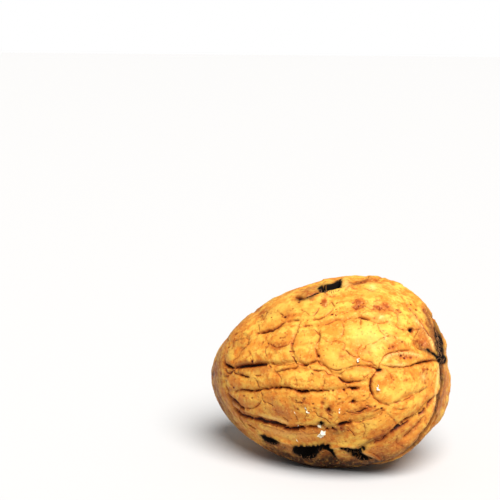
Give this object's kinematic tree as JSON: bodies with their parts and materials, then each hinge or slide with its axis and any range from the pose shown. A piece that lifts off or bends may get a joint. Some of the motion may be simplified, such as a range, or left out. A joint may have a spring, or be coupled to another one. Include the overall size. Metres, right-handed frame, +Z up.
{
  "type": "walnut",
  "caption": "English walnut in its shell, whole and closed, with a raised seam round it, meandering furrows, small pits and a fibrous gap in the seam at the stem end; lies on its side.",
  "frame": {"origin": "bottom centre of the bounding box, on the surface the nut lies on", "axes": "+X along the nut towards its blunt stem end, +Z up; the seam stands nearly upright along X"},
  "size_m": [0.0416, 0.0298, 0.0307],
  "materials": {
    "shell": "satin"
  },
  "bodies": {
    "root": {"walnut": "shell"}
  },
  "joints": []
}
